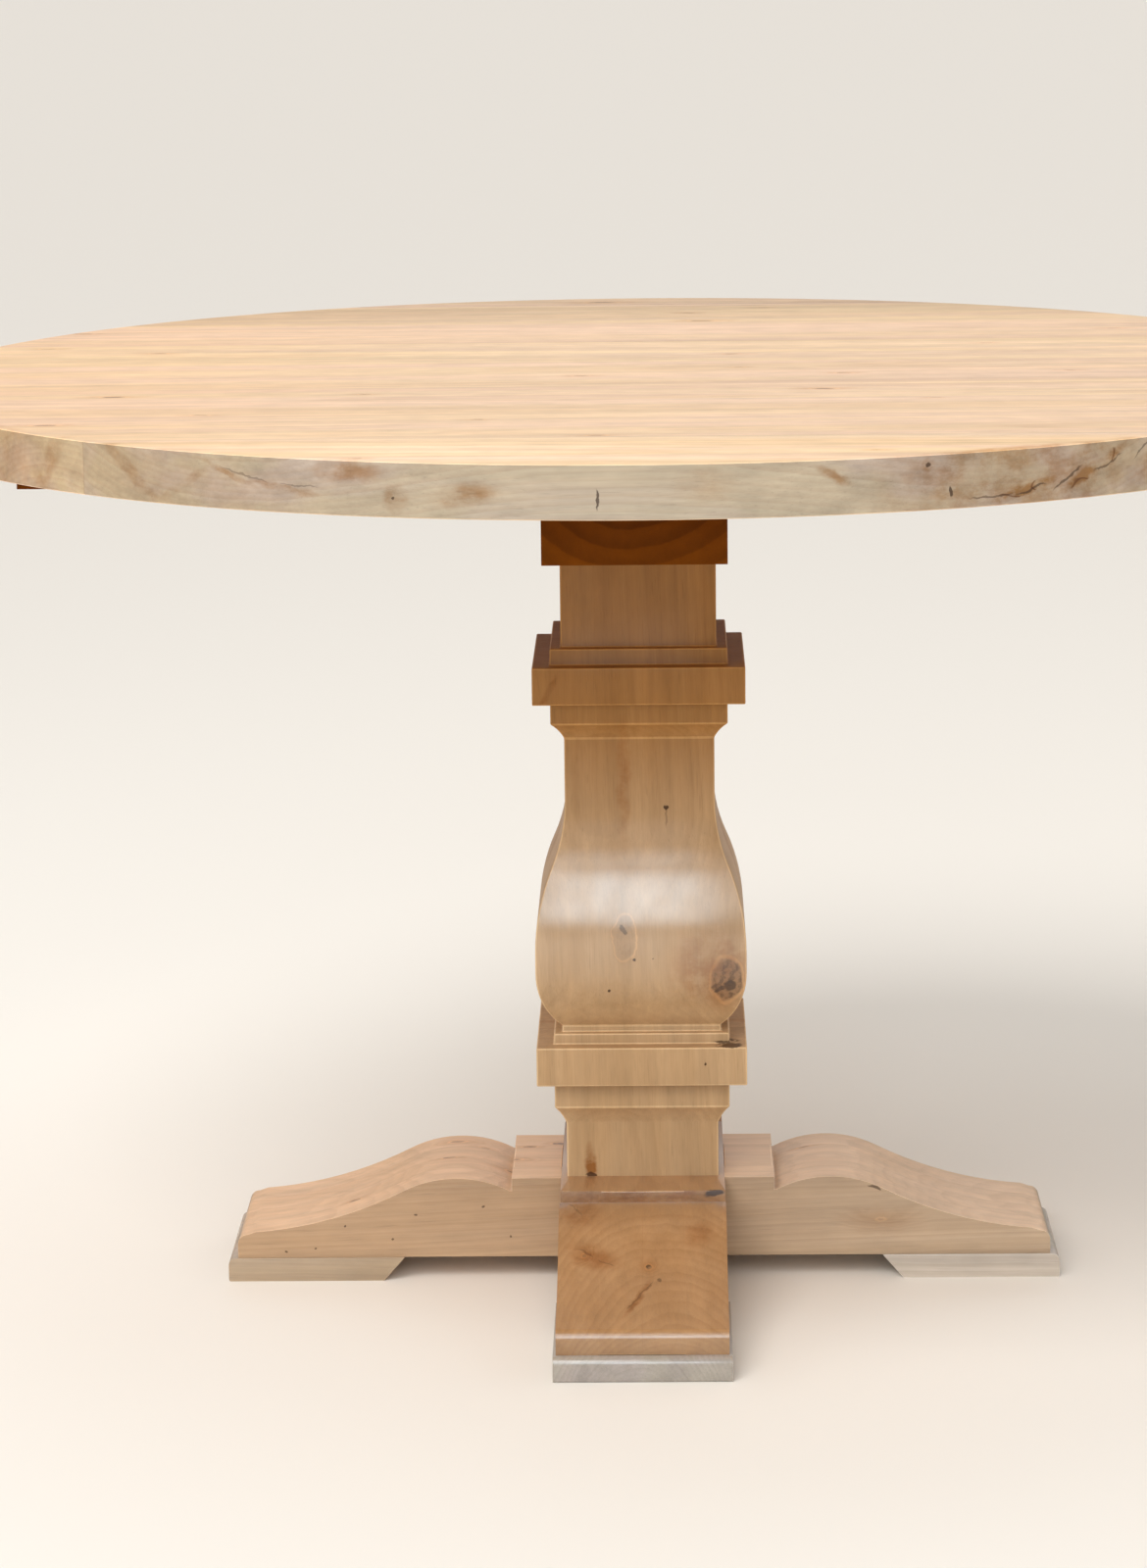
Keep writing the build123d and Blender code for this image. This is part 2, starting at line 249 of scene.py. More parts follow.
class Graph:
    """Shorthand for wiring the shader nodes of one material."""

    def __init__(self, name):
        self.material = bpy.data.materials.new(name)
        self.material.use_nodes = True
        self.tree = self.material.node_tree
        self.shader = self.tree.nodes["Principled BSDF"]
        coordinates = self.node("ShaderNodeTexCoord")
        self.place = coordinates.outputs["Object"]
        self.normal = coordinates.outputs["Normal"]
        self.axes = self.split(self.place)

    def feed(self, socket, value):
        if isinstance(value, bpy.types.NodeSocket):
            self.tree.links.new(value, socket)
        else:
            socket.default_value = value

    def node(self, kind, inputs=None, **settings):
        made = self.tree.nodes.new(kind)
        for setting, value in settings.items():
            setattr(made, setting, value)
        for socket, value in (inputs or {}).items():
            self.feed(made.inputs[socket], value)
        return made

    def split(self, vector):
        return self.node("ShaderNodeSeparateXYZ", {0: vector}).outputs

    def combine(self, x, y, z=0.0):
        return self.node("ShaderNodeCombineXYZ", {0: x, 1: y, 2: z}).outputs[0]

    def math(self, operation, *values, clamp=False):
        inputs = dict(enumerate(values))
        return self.node("ShaderNodeMath", inputs, operation=operation, use_clamp=clamp).outputs[0]

    def product(self, *values):
        return self.math("MULTIPLY", *values)

    def total(self, start, *parts):
        """A start value plus each part times its share."""
        for value, share in parts:
            start = self.math("MULTIPLY_ADD", value, share, start)
        return start

    def away(self, value, middle):
        """How far a value is from a middle one, either way."""
        return self.math("ABSOLUTE", self.math("SUBTRACT", value, middle))

    def vector(self, operation, *values):
        made = self.node("ShaderNodeVectorMath", dict(enumerate(values)), operation=operation)
        return made.outputs[1 if operation in ("LENGTH", "DOT_PRODUCT") else 0]

    def facing(self, direction, low, high, start=0.0, end=1.0):
        """A smooth step by how squarely a surface looks along a direction, either way."""
        share = self.math("ABSOLUTE", self.vector("DOT_PRODUCT", self.normal, direction))
        return self.step(share, low, high, start, end)

    def step(self, value, low, high, start=0.0, end=1.0):
        """A smooth step from start to end as the value goes from low to high."""
        inputs = {"Value": value, "From Min": low, "From Max": high, "To Min": start, "To Max": end}
        made = self.node("ShaderNodeMapRange", inputs, interpolation_type="SMOOTHSTEP")
        return made.outputs[0]

    def mix(self, factor, first, second, blend="MIX"):
        inputs = {0: factor, 6: colour(first), 7: colour(second)}
        return self.node("ShaderNodeMix", inputs, data_type="RGBA", blend_type=blend).outputs[2]

    def toned(self, tint, tone, mask=1.0):
        """A tint multiplied by a tone where the mask is 1."""
        return self.mix(mask, tint, tone, "MULTIPLY")

    def noise(self, place, stretch, detail=2.0, roughness=0.5, output=0):
        """Noise with the given number of waves per metre along each axis."""
        scaled = self.vector("MULTIPLY", place, stretch)
        inputs = {"Vector": scaled, "Scale": 1.0, "Detail": detail, "Roughness": roughness}
        return self.node("ShaderNodeTexNoise", inputs).outputs[output]

    def spot(self, place, reach, turn=(0, 0, 0), warped=None):
        """1 at a place, falling evenly to 0 at the given reach along each axis."""
        inputs = {"Vector": warped or self.place, "Location": place, "Scale": reach,
                  "Rotation": [math.radians(angle) for angle in turn]}
        local = self.node("ShaderNodeMapping", inputs, vector_type="TEXTURE").outputs[0]
        return self.node("ShaderNodeTexGradient", {"Vector": local},
                         gradient_type="SPHERICAL").outputs[1]

    def most(self, values):
        """The largest of several values, or 0 where there are none."""
        top = 0.0
        for value in values:
            top = self.math("MAXIMUM", top, value)
        return top

    def bump(self, height, strength, distance):
        inputs = {"Height": height, "Strength": strength, "Distance": distance}
        return self.node("ShaderNodeBump", inputs).outputs[0]

    def finish(self, tint, rough, normal):
        """The material, with its colour, roughness and normal wired to the shader."""
        self.feed(self.shader.inputs["Base Color"], tint)
        self.feed(self.shader.inputs["Roughness"], rough)
        self.feed(self.shader.inputs["Normal"], normal)
        return self.material


def colour(value):
    """A colour for a socket: three numbers get their alpha, a linked socket stays."""
    return value if isinstance(value, bpy.types.NodeSocket) else (*value, 1.0)


# ---------------------------------------------------------------- wood

# Each kind of wood: its early, late and cloud colours, how strong its rings, clouds, streaks and
# fibres show, the width of a ring, what its end grain is multiplied by, what its upright faces are
# multiplied by (painted light and shade, which sets the sides against the tops as the light falls;
# on the top's rim partly its greyer edge grain), how thick its varnish is, the refraction of that
# varnish and the gloss of the bare wood.
Wood = namedtuple("Wood", "early late cloud rings clouds streaks fibres gap ends sides "
                          "shine coat gloss", defaults=((1.0, 1.0, 1.0), 0.35, 1.5, 0.2))

kinds = {
    "top_wood": Wood(
        early=(0.835, 0.575, 0.365), late=(0.68, 0.402, 0.207), cloud=(0.845, 0.600, 0.308),
        rings=0.48, clouds=0.70, streaks=0.34, fibres=0.12, gap=0.0046,
        ends=(0.98, 0.90, 0.74), sides=(0.552, 0.632, 0.755)),
    "column_wood": Wood(
        early=(0.626, 0.398, 0.211), late=(0.436, 0.252, 0.121), cloud=(0.545, 0.330, 0.161),
        rings=0.28, clouds=0.60, streaks=0.22, fibres=0.16, gap=0.0050,
        ends=(0.80, 0.80, 0.80), sides=(0.77, 0.77, 0.77), shine=0.95, coat=1.9, gloss=0.02),
    "beam_wood": Wood(
        early=(0.78, 0.500, 0.292), late=(0.545, 0.310, 0.160), cloud=(0.69, 0.420, 0.224),
        rings=0.40, clouds=0.60, streaks=0.24, fibres=0.18, gap=0.0046,
        ends=(0.78, 0.76, 0.74), sides=(0.565, 0.570, 0.575), shine=0.30),
    "front_foot_wood": Wood(
        early=(0.412, 0.226, 0.102), late=(0.278, 0.134, 0.053), cloud=(0.365, 0.189, 0.078),
        rings=0.44, clouds=0.70, streaks=0.24, fibres=0.18, gap=0.0046,
        ends=(0.78, 0.76, 0.74), sides=(1.05, 1.05, 1.00), shine=0.80, coat=1.8),
    # The bearers' deep warm red is partly their own darker wood and partly painted shade, warm and
    # deep as under the top.
    "bearer_wood": Wood(
        early=(0.178, 0.055, 0.0020), late=(0.084, 0.023, 0.0008), cloud=(0.130, 0.038, 0.0014),
        rings=0.70, clouds=0.30, streaks=0.18, fibres=0.12, gap=0.0150,
        ends=(0.92, 0.90, 0.88), sides=(0.9, 0.75, 0.6), shine=0.0, gloss=0.03),
    "pad_wood": Wood(
        early=(0.420, 0.352, 0.290), late=(0.296, 0.238, 0.184), cloud=(0.404, 0.352, 0.259),
        rings=0.46, clouds=0.70, streaks=0.28, fibres=0.16, gap=0.0040,
        ends=(0.92, 0.94, 0.97), shine=0.80, coat=1.8, gloss=0.1),
    "dowel_wood": Wood(
        early=(0.66, 0.440, 0.260), late=(0.50, 0.300, 0.160), cloud=(0.60, 0.380, 0.210),
        rings=0.45, clouds=0.40, streaks=0.20, fibres=0.14, gap=0.0022,
        ends=(0.80, 0.76, 0.72)),
}

knot_brown = (0.250, 0.130, 0.058)
knot_dark = (0.050, 0.021, 0.009)

# What the tint is multiplied by in the marks of the wood, and along its edges, where a painted
# highlight is mixed with wear.
knot_halo = (0.84, 0.71, 0.58)
knot_outline = (1.45, 1.36, 1.20)
smudge_brown = (0.62, 0.39, 0.20)
vein_brown = (0.36, 0.18, 0.07)
glue_line = (0.72, 0.62, 0.54)
edge_highlight_and_wear = (1.48, 1.60, 1.72)

# The noises that the figure is made of: their waves per metre along the grain and across it, how
# finely they are broken up, and how roughly.
Noise = namedtuple("Noise", "along across detail roughness", defaults=(2.0, 0.5))

noises = {
    "wander": Noise(1.1, 5.0),
    "ripple": Noise(9.0, 70.0),
    "veins": Noise(9.0, 36.0),
    "clouds": Noise(1.0, 26.0, 3.0, 0.6),
    "mottle": Noise(28.0, 60.0, 3.0, 0.6),
    "broad": Noise(1.0, 45.0, 3.0, 0.6),
    "streaks": Noise(2.6, 200.0, 4.0, 0.7),
    "fibres": Noise(14.0, 900.0, 2.0, 0.6),
    "pores": Noise(30.0, 1300.0, 0.0),
}

grain_orders = {"X": "XYZ", "Y": "YXZ", "Z": "ZXY"}
wander_reach = 0.030
ripple_reach = 0.0040
late_wood_peak = 0.88  # where in a ring the late wood is darkest
warp_waves = (75.0, 75.0, 75.0)
warp_reach = (0.008, 0.008, 0.008)
glue_width = (0.0002, 0.0007)  # half the full dark line, and where it has faded out
varnish_waves = (13.0, 13.0, 13.0)
coat_roughness = 0.2
bump_height = 0.0003
bump_strength = 0.35

# A knot: where it is, the radius of its core, how far its halo reaches across the grain, the
# axis that its branch grew along, how dark its core is, how much longer than wide it is, and how
# strong its halo is.
Knot = namedtuple("Knot", "place core reach through dark length halo",
                  defaults=("Z", 0.8, 2.4, 0.65))

# A stain: its middle, its reach along each axis, its strength and its turn in degrees.
Stain = namedtuple("Stain", "place reach strength turn", defaults=((0, 0, 0),))

# A pit: a small dark hole or fleck with a hard edge, with its middle, its half-lengths, how dark
# it is and its turn in degrees.
Pit = namedtuple("Pit", "place reach dark turn", defaults=(0.9, (0, 0, 0)))

# Everything that marks one board: the glued faces are given as joints_of gives them.
Marks = namedtuple("Marks", "knots stains pits glue glue_strength", defaults=((), (), (), (), 0.6))

# A slow change of tone along one axis of the table. On the column it is painted shade under the
# top, on the left-to-right beam it is painted light.
Fade = namedtuple("Fade", "axis start end tone")

# A stretch along an axis where the varnish is polished: where it rises to full and where it falls.
Polish = namedtuple("Polish", "axis rise fall")

# The share of a board's figure at each place.
Grain = namedtuple("Grain", "rings bands clouds mottle broad streaks fibres pores")


def noise_of(graph, shifted, name, output=0):
    look = noises[name]
    stretch = (look.along, look.across, look.across)
    return graph.noise(shifted, stretch, look.detail, look.roughness, output)


def board_place(graph, along, pith, tilt, seed):
    """The place in a board, along the grain and then sideways from its pith."""
    length, side, depth = (graph.axes[axis] for axis in grain_orders[along])
    side = graph.math("SUBTRACT", graph.total(side, (length, tilt[0])), pith[0])
    depth = graph.math("SUBTRACT", graph.total(depth, (length, tilt[1])), pith[1])
    local = graph.combine(length, side, depth)
    shifted = graph.vector("ADD", local, (seed * 3.7, seed * 1.9, seed * 2.3))
    return local, shifted


def warped_place(graph):
    """The place, shaken a little, so that marks get uneven outlines."""
    shake = graph.noise(graph.place, warp_waves, 3.0, 0.6, output=1)
    shake = graph.vector("SUBTRACT", shake, (0.5, 0.5, 0.5))
    return graph.vector("MULTIPLY_ADD", shake, warp_reach, graph.place)


def knot_masks(graph, knots, along, warped):
    """Each place's share of a knot's halo, core and rim, and how far it pushes the rings."""
    halos, cores, rims, pushes = [], [], [], []
    for knot in knots:
        reach = [knot.reach] * 3
        reach["XYZ".index(along)] *= knot.length
        reach["XYZ".index(knot.through)] = 1.0
        near = graph.spot(knot.place, reach, warped=warped)
        edge = 1 - knot.core / knot.reach
        halos.append(graph.step(near, 0.0, edge, 0.0, knot.halo))
        cores.append(graph.product(graph.step(near, edge - 0.03, edge + 0.05), knot.dark))
        rims.append(graph.step(graph.away(near, edge - 0.06), 0.01, 0.06, 1.0, 0.0))
        pushes.append(graph.step(near, 0.0, 1.0, 0.0, knot.reach * 0.8))
    return graph.most(halos), graph.most(cores), graph.most(rims), graph.most(pushes)


def ring_pattern(graph, local, shifted, gap, push, seed):
    """Late-wood lines round the pith, each a little different, and the broad bands they form."""
    wander = noise_of(graph, shifted, "wander", output=1)
    wander = graph.vector("MULTIPLY", graph.vector("SUBTRACT", wander, (0.5, 0.5, 0.5)),
                          (0.0, wander_reach, wander_reach))
    across = graph.vector("MULTIPLY", graph.vector("ADD", local, wander), (0.0, 1.0, 1.0))
    ripple = (noise_of(graph, shifted, "ripple"), min(gap * 0.8, ripple_reach))
    radius = graph.total(graph.vector("LENGTH", across), ripple)
    radius = graph.math("ADD", radius, push)
    rings = graph.math("DIVIDE", radius, gap)
    part = graph.math("FRACT", rings)
    number = graph.math("ADD", graph.math("FLOOR", rings), seed)
    strength = graph.node("ShaderNodeTexWhiteNoise", {"W": number},
                          noise_dimensions="1D").outputs[0]
    rise = graph.step(part, 0.15, late_wood_peak)
    fall = graph.step(part, late_wood_peak, 1.0, 1.0, 0.0)
    lines = graph.product(graph.product(rise, fall), graph.total(0.3, (strength, 0.7)))
    banding = graph.combine(rings, seed * 7.1)
    bands = graph.step(graph.noise(banding, (0.30, 1.0, 1.0)), 0.35, 0.65)
    return lines, bands


def grain_of(graph, look, local, shifted, push, seed):
    """The figure of a board: rings and bands, clouds, mottling, streaks, fibres and pores."""
    rings, bands = ring_pattern(graph, local, shifted, look.gap, push, seed)
    clouds = graph.step(noise_of(graph, shifted, "clouds"), 0.38, 0.62)
    pores = graph.step(noise_of(graph, shifted, "pores"), 0.68, 0.80)
    mottle, broad, streaks, fibres = (noise_of(graph, shifted, name) for name in
                                      ("mottle", "broad", "streaks", "fibres"))
    return Grain(rings, bands, clouds, mottle, broad, streaks, fibres, pores)


def grain_tint(graph, look, grain):
    """The colour of the bare figure: clouds, then late wood, then the shade of the fine grain."""
    tint = graph.mix(graph.product(grain.clouds, look.clouds), look.early, look.cloud)
    figure = graph.total(0.0, (grain.rings, 0.75), (grain.bands, 0.45))
    tint = graph.mix(graph.product(figure, look.rings), tint, look.late)
    shade = 1.0
    for noise, amount in ((grain.broad, look.streaks * 1.6), (grain.streaks, look.streaks * 1.4),
                          (grain.mottle, look.streaks), (grain.fibres, look.fibres)):
        centred = graph.math("SUBTRACT", noise, 0.5)
        shade = graph.total(shade, (centred, amount))
    shade = graph.total(shade, (grain.pores, -0.10))
    return graph.toned(tint, graph.combine(shade, shade, shade))


def stained(graph, tint, stains, warped, shifted):
    """The tint with its stains: soft brown smudges, crossed by thin dark veins."""
    masks = []
    for stain in stains:
        near = graph.spot(stain.place, stain.reach, stain.turn, warped)
        masks.append(graph.product(graph.step(near, 0.0, 0.7), stain.strength))
    mask = graph.most(masks)
    smudge = graph.step(graph.noise(graph.place, (45.0, 45.0, 60.0), 4.0, 0.65), 0.34, 0.66)
    smudge = graph.total(0.25, (smudge, 0.65))
    veins = graph.step(graph.away(noise_of(graph, shifted, "veins"), 0.5), 0.0, 0.022, 0.75, 0.0)
    veins = graph.product(veins, graph.step(mask, 0.80, 1.15))
    tint = graph.toned(tint, smudge_brown, graph.math("MULTIPLY", mask, smudge, clamp=True))
    return graph.toned(tint, vein_brown, veins)


def pit_mask(graph, pits, warped):
    masks = []
    for pit in pits:
        near = graph.spot(pit.place, pit.reach, pit.turn, warped)
        masks.append(graph.product(graph.step(near, 0.0, 0.35), pit.dark))
    return graph.most(masks)


def glue_mask(graph, glue):
    """1 in the thin lines where a board meets its neighbours."""
    lines = []
    for axis, place in glue:
        lines.append(graph.step(graph.away(graph.axes[axis], place), *glue_width, 1.0, 0.0))
    return graph.most(lines)


def marked(graph, tint, marks, masks, warped, shifted):
    """The tint with its knots, stains, pits and glue lines."""
    halo, core, rim = masks
    tint = graph.toned(tint, knot_halo, halo)
    swirl = graph.step(graph.noise(warped, (150.0, 150.0, 110.0), 3.0, 0.65), 0.44, 0.60)
    tint = graph.mix(core, tint, graph.mix(swirl, knot_brown, knot_dark))
    if marks.stains:
        tint = stained(graph, tint, marks.stains, warped, shifted)
    tint = graph.toned(tint, knot_outline, graph.product(rim, 0.45))
    if marks.pits:
        tint = graph.mix(pit_mask(graph, marks.pits, warped), tint, knot_dark)
    lines = graph.product(glue_mask(graph, marks.glue), marks.glue_strength)
    return graph.toned(tint, glue_line, lines)


def varnish(graph, look, grain, ends, highlit_and_worn, polish):
    """How rough the surface is and how strong its coat of varnish."""
    smudges = graph.noise(graph.place, varnish_waves, 3.0, 0.6)
    rough = graph.total(0.28, (smudges, 0.16), (grain.streaks, 0.10), (ends, 0.08), (highlit_and_worn, -0.06))
    coat = graph.step(smudges, 0.35, 0.60, look.shine * 0.7, look.shine)
    if polish:
        place = graph.axes[polish.axis]
        rise = graph.step(place, *polish.rise)
        fall = graph.step(place, *polish.fall, 1.0, 0.0)
        forward = graph.facing((0.0, 1.0, 0.0), 0.4, 0.9)
        polished = graph.product(graph.product(rise, fall), forward)
        coat = graph.product(coat, graph.total(0.08, (polished, 0.92)))
    return rough, coat


def relief(graph, grain, core):
    """The bump of the wood: rings, fibres, streaks, pores, sunken knots and slow waves."""
    waves = graph.noise(graph.place, varnish_waves, 1.0)
    height = graph.total(0.0, (grain.rings, 0.35), (grain.fibres, 0.5), (grain.streaks, 0.5),
                         (grain.pores, -0.8), (core, -0.6), (waves, 9.0))
    return graph.bump(height, bump_strength, bump_height)


def wood(name, kind, along, pith, seed, tilt=(0.0, 0.0), marks=Marks(), tone=(1.0, 1.0, 1.0),
         fade=None, polish=None):
    """A board of solid wood, figured right through, so that its faces and ends agree."""
    look = kinds[kind]
    graph = Graph(name)
    local, shifted = board_place(graph, along, pith, tilt, seed)
    warped = warped_place(graph)
    halo, core, rim, push = knot_masks(graph, marks.knots, along, warped)
    grain = grain_of(graph, look, local, shifted, push, seed)
    along_axis = [1.0 if axis == along else 0.0 for axis in "XYZ"]
    ends = graph.facing(along_axis, 0.45, 0.95)
    painted_side_shade = graph.facing((0.0, 0.0, 1.0), 0.35, 0.85, 1.0, 0.0)
    highlit_and_worn = graph.node("ShaderNodeAttribute", attribute_name="highlight_and_wear").outputs["Fac"]

    tint = grain_tint(graph, look, grain)
    tint = graph.toned(tint, look.ends, ends)
    # Painted light and shade: upright faces take the kind's side tone, so that sides and tops
    # differ as the light falls on them.
    tint = graph.toned(tint, look.sides, painted_side_shade)
    tint = marked(graph, tint, marks, (halo, core, rim), warped, shifted)
    tint = graph.toned(tint, tone)
    # A slow change of tone along an axis: painted shade on the column, painted light on the
    # left-to-right beam, a change of tone on the top.
    if fade:
        passed = graph.step(graph.split(warped)[fade.axis], fade.start, fade.end)
        tint = graph.toned(tint, fade.tone, passed)
    # Painted highlight along the rounded arrises and the top's chamfers, mixed with wear: these
    # edges are lightened and whitened.
    tint = graph.toned(tint, edge_highlight_and_wear, graph.product(highlit_and_worn, 0.8))

    rough, coat = varnish(graph, look, grain, ends, highlit_and_worn, polish)
    graph.feed(graph.shader.inputs["Coat Weight"], coat)
    graph.shader.inputs["Specular IOR Level"].default_value = look.gloss
    graph.shader.inputs["Coat IOR"].default_value = look.coat
    graph.shader.inputs["Coat Roughness"].default_value = coat_roughness
    return graph.finish(tint, rough, relief(graph, grain, core))


def dress(name, material):
    """Puts a material on a piece, or on the CAD node itself where it stays."""
    target = pieces.get(name) or nodes[name]
    for slot in target.material_slots:
        slot.material = material
    if not target.material_slots:
        target.data.materials.append(material)


def scatter(name, count, through, chance):
    """A few small knots at random in a board, for the faces that nobody described."""
    low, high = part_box(name)
    knots = []
    for _ in range(count):
        place = [chance.uniform(start, end) for start, end in zip(low, high)]
        knots.append(Knot(place, chance.uniform(0.0012, 0.003), chance.uniform(0.007, 0.014),
                          through, chance.uniform(0.3, 0.7)))
    return knots


# Flecks of the top, seen from above: X, Y, the radius of the core and how dark it is.
top_marks = (
    (0.058, 0.387, 0.0032, 0.7), (0.080, 0.112, 0.0020, 0.5), (-0.045, -0.043, 0.0020, 0.5),
    (0.170, -0.037, 0.0020, 0.5), (0.355, -0.033, 0.0016, 0.3), (0.085, 0.010, 0.0014, 0.3),
    (-0.415, -0.163, 0.0030, 0.7), (-0.215, -0.159, 0.0016, 0.4), (0.150, -0.147, 0.0028, 0.7),
    (0.235, -0.215, 0.0014, 0.3), (-0.335, -0.288, 0.0020, 0.5), (-0.447, -0.343, 0.0030, 0.6),
    (-0.120, -0.330, 0.0016, 0.5), (-0.027, -0.433, 0.0022, 0.4), (0.175, -0.530, 0.0014, 0.3),
    (-0.200, -0.552, 0.0016, 0.4), (-0.495, 0.322, 0.0026, 0.6), (-0.035, 0.562, 0.0040, 0.7),
    (0.115, 0.500, 0.0016, 0.3), (0.045, 0.460, 0.0020, 0.5), (-0.510, 0.200, 0.0022, 0.4),
    (-0.410, 0.155, 0.0022, 0.4), (0.420, 0.290, 0.0020, 0.4), (0.300, 0.180, 0.0016, 0.3),
)

# Stains of the rim: the angle round the table from the front in degrees, positive to the right,
# the height, the reach round the rim and up it, the strength, and how far they lean.
rim_marks = (
    (-16.5, 0.733, 0.012, 0.013, 1.1, 0), (-11.5, 0.737, 0.032, 0.012, 0.9, 8),
    (-20.0, 0.752, 0.038, 0.010, 0.9, 0), (5.0, 0.745, 0.030, 0.018, 0.35, 0),
    (13.7, 0.748, 0.005, 0.020, 0.9, 65), (20.6, 0.752, 0.010, 0.010, 1.0, 0),
    (21.8, 0.738, 0.005, 0.022, 0.9, 20), (28.0, 0.730, 0.055, 0.008, 1.3, 14),
    (34.0, 0.742, 0.060, 0.008, 1.3, 26), (41.0, 0.745, 0.060, 0.020, 0.9, 20),
    (28.0, 0.740, 0.200, 0.080, 0.80, 0), (50.0, 0.740, 0.200, 0.080, 0.80, 0),
    (-25.0, 0.738, 0.040, 0.004, 0.8, -8), (-29.0, 0.745, 0.040, 0.004, 0.8, -22),
    (-33.0, 0.737, 0.050, 0.006, 0.5, 30), (-38.0, 0.742, 0.060, 0.008, 0.6, -38),
    (-47.0, 0.737, 0.070, 0.012, 0.6, 55), (-56.0, 0.735, 0.080, 0.016, 0.7, 60),
    (-32.0, 0.740, 0.140, 0.080, 0.20, 0), (-58.0, 0.740, 0.240, 0.090, 0.50, 0),
)

# Hard-edged marks of the rim: the angle, the height, the reach round the rim and up it, how dark
# they are and how far they lean.
rim_pits = (
    (-2.4, 0.735, 0.0014, 0.0090, 0.85, 0), (20.6, 0.753, 0.0022, 0.0020, 0.85, 0),
    (22.3, 0.733, 0.0016, 0.0050, 0.85, 0), (-16.6, 0.734, 0.0016, 0.0020, 0.85, 0),
    (-28.0, 0.746, 0.0240, 0.0009, 0.40, -14), (-23.6, 0.740, 0.0180, 0.0008, 0.40, -3),
    (25.5, 0.7275, 0.0200, 0.0010, 0.60, 2), (28.6, 0.7300, 0.0160, 0.0012, 0.70, 14),
    (31.6, 0.7360, 0.0180, 0.0012, 0.70, 32), (35.2, 0.7440, 0.0180, 0.0010, 0.60, 24),
    (38.5, 0.7530, 0.0160, 0.0010, 0.60, 40), (41.5, 0.7400, 0.0200, 0.0009, 0.45, 26),
)

# The front board of the top is toned down to suit the others.
front_board_tone = (0.88, 0.88, 0.93)

# The top is a little warmer towards the left.
top_fade = Fade("X", -0.12, -0.45, (1.03, 0.99, 0.93))

fleck_halo = 4.5  # times the radius of the core
fleck_length = 3.2  # times its width
rim_stain_depth = 0.02
rim_pit_depth = 0.01


def on_rim(angle, height):
    spin = math.radians(angle)
    return top_radius * math.sin(spin), -top_radius * math.cos(spin), height


def near_board(marks, low, high):
    """The marks of the rim that reach a board of the top."""
    return [mark for mark in marks
            if low.y - mark.reach[0] <= mark.place[1] < high.y + mark.reach[0]]


def top_marks_on(low, high):
    """The knots, stains and pits of one board of the top."""
    knots = [Knot((x, y, top_height), core, core * fleck_halo, "Z", dark, fleck_length)
             for x, y, core, dark in top_marks if low.y <= y < high.y]
    stains = [Stain(on_rim(angle, height), (reach, rim_stain_depth, rise), strength,
                    (0, -lean, angle))
              for angle, height, reach, rise, strength, lean in rim_marks]
    pits = [Pit(on_rim(angle, height), (reach, rim_pit_depth, rise), dark,
                (0, -lean, angle))
            for angle, height, reach, rise, dark, lean in rim_pits]
    return knots, near_board(stains, low, high), near_board(pits, low, high)


def dress_top():
    names = names_of("top_board")
    chance = random.Random(11)
    for index, name in enumerate(names):
        low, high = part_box(name)
        depth = chance.uniform(0.04, 0.12) * chance.choice((-1, 1))
        pith = ((low.y + high.y) / 2 + chance.uniform(-0.05, 0.05), top_height + depth)
        tilt = (chance.uniform(-0.05, 0.05), chance.uniform(-0.03, 0.03))
        pink = chance.uniform(0.0, 1.0)
        tone = (1.0, 1.0 - 0.025 * pink, 1.0 + 0.03 * pink) if index else front_board_tone
        marks = Marks(*top_marks_on(low, high), joints_of(names, index, y_axis), 0.35)
        dress(name, wood("wood_" + name, "top_wood", "X", pith, 3 + index, tilt, marks, tone,
                         top_fade))


column_front_knots = (
    Knot((-0.013, -0.086, 0.298), 0.0090, 0.015, "Y", 0.16, 2.0, 0.15),
    Knot((0.071, -0.085, 0.262), 0.0120, 0.026, "Y", 0.70, 1.5, 0.55),
)

column_front_stains = (
    Stain((-0.013, -0.063, 0.425), (0.008, 0.05, 0.070), 0.55),
    Stain((-0.073, -0.087, 0.506), (0.004, 0.02, 0.018), 0.8, (0, 30, 0)),
    Stain((0.058, -0.085, 0.272), (0.045, 0.05, 0.050), 0.75),
    Stain((-0.044, -0.064, 0.098), (0.0065, 0.02, 0.024), 1.6),
)

column_front_pits = (
    Pit((0.021, -0.063, 0.403), (0.0022, 0.02, 0.0026)),
    Pit((0.021, -0.063, 0.397), (0.0010, 0.02, 0.0110), 0.3),
    Pit((-0.015, -0.086, 0.305), (0.0022, 0.02, 0.0055), 0.6, (0, -30, 0)),
    Pit((-0.006, -0.085, 0.279), (0.0012, 0.02, 0.0016)),
    Pit((0.010, -0.085, 0.282), (0.0009, 0.02, 0.0012), 0.7),
    Pit((-0.027, -0.082, 0.253), (0.0013, 0.02, 0.0015)),
    Pit((0.053, -0.088, 0.191), (0.0014, 0.02, 0.0014)),
    Pit((0.074, -0.085, 0.258), (0.0045, 0.02, 0.0060), 0.8, (0, 30, 0)),
    Pit((0.066, -0.085, 0.254), (0.0022, 0.02, 0.0070), 0.7, (0, 60, 0)),
    Pit((-0.044, -0.064, 0.0895), (0.0060, 0.02, 0.0028), 0.85),
    Pit((0.072, -0.080, 0.205), (0.0140, 0.03, 0.0016), 0.8),
)

# The column is made redder and darker towards its top, as painted shade under the table top, and
# shines on the front of its vase.
column_painted_shade = Fade("Z", 0.34, 0.50, (0.686, 0.504, 0.290))
column_polish = Polish("Z", (0.215, 0.302), (0.345, 0.374))


